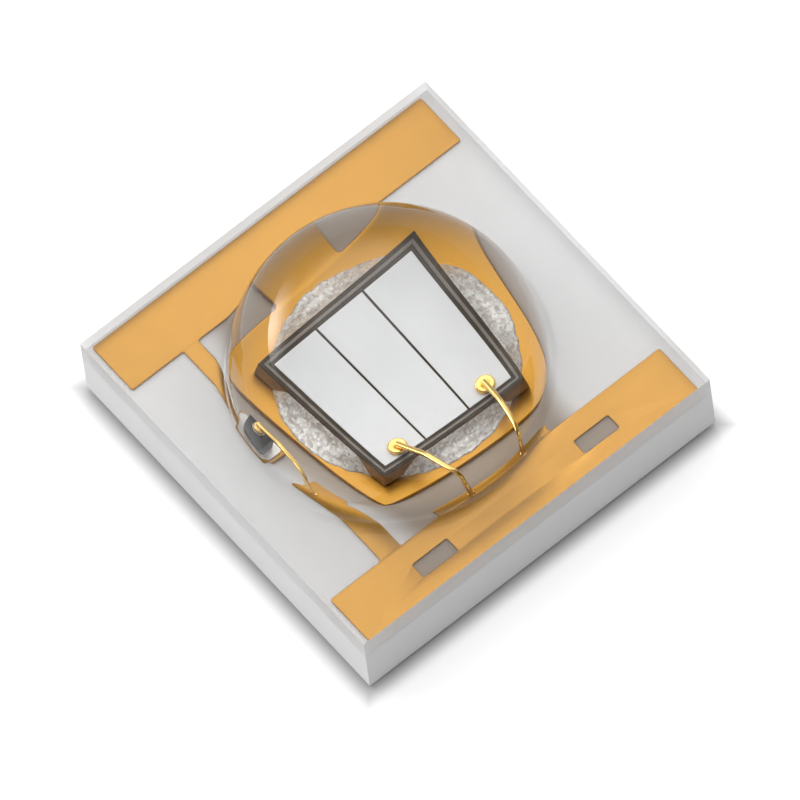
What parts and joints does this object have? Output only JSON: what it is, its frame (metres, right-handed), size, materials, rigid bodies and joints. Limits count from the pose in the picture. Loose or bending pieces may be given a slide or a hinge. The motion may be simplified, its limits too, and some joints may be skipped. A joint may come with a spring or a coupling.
{
  "type": "ultraviolet led",
  "caption": "Square surface-mount ultraviolet light source: ceramic board with gold tracks, a chip and a small diode wired under a clear silicone dome.",
  "frame": {"origin": "centre of the square outline, in the plane of the solder pads", "axes": "+Z out of the dome; +Y towards the bar that carries the chip's track; the small diode lies towards -X"},
  "size_m": [0.0036, 0.0036, 0.0021],
  "materials": {
    "ceramic": "matt, very fine grain",
    "gold_plating": "satin, finely grained",
    "via_fill": "satin",
    "silver_paste": "matt, granular",
    "chip_metal": "satin, sawn sides",
    "chip_ring": "satin",
    "chip_emitter": "pale satin, slightly rough",
    "diode_silicon": "dark, sawn sides",
    "diode_metal": "satin",
    "gold_wire": "bright",
    "silicone": "clear, polished"
  },
  "bodies": {
    "root": {"ceramic_board": "ceramic", "chip_vias": "via_fill", "wire_vias": "via_fill", "chip_solder_pad": "gold_plating", "wire_solder_pad": "gold_plating", "heat_solder_pad": "gold_plating", "chip_track": "gold_plating", "wire_track": "gold_plating", "die_attach": "silver_paste", "chip_carrier": "chip_metal", "chip_guard_ring": "chip_ring", "chip_segments": "chip_emitter", "diode_attach": "silver_paste", "diode_die": "diode_silicon", "diode_terminal": "diode_metal", "chip_wire_left": "gold_wire", "chip_wire_right": "gold_wire", "diode_wire": "gold_wire", "silicone_lens": "silicone"}
  },
  "joints": []
}
